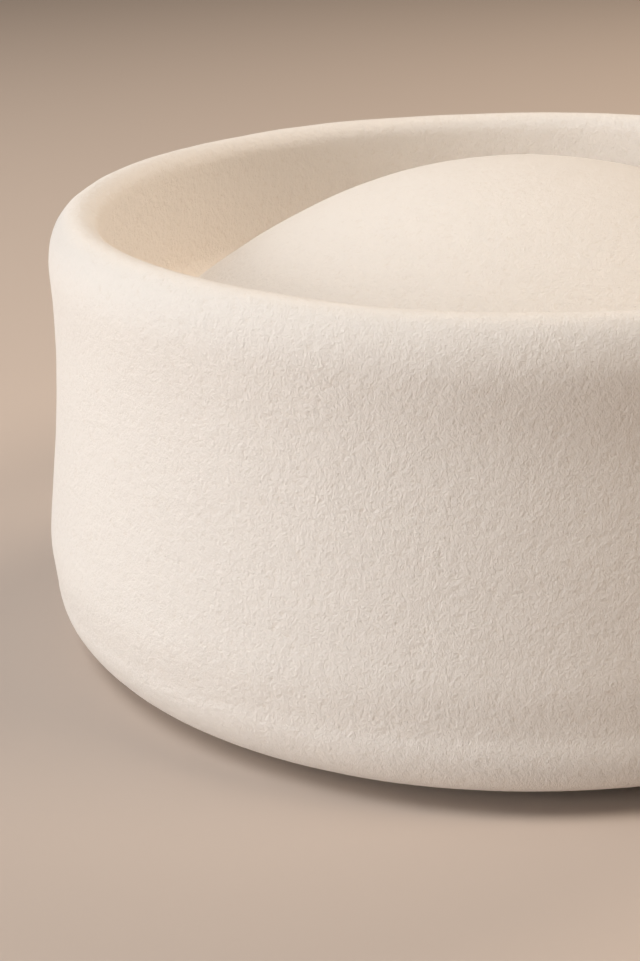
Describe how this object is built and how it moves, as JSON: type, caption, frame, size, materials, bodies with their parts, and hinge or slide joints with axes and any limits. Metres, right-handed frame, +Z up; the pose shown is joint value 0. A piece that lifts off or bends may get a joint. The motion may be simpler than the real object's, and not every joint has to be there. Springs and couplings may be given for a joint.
{
  "type": "pillbox hat",
  "caption": "Brimless round felt hat with straight sides, a softly rolled rim and a domed crown sunk inside it.",
  "frame": {"origin": "on the surface that the hat rests on, at the middle of its round outline", "axes": "+Z up towards the crown, the front of the hat towards -Y, the wearer's left towards +X"},
  "size_m": [0.1966, 0.1972, 0.0888],
  "materials": {
    "ivory_felt": "thick brushed wool felt, matt, with a short nap"
  },
  "bodies": {
    "root": {"felt_body": "ivory_felt"}
  },
  "joints": []
}
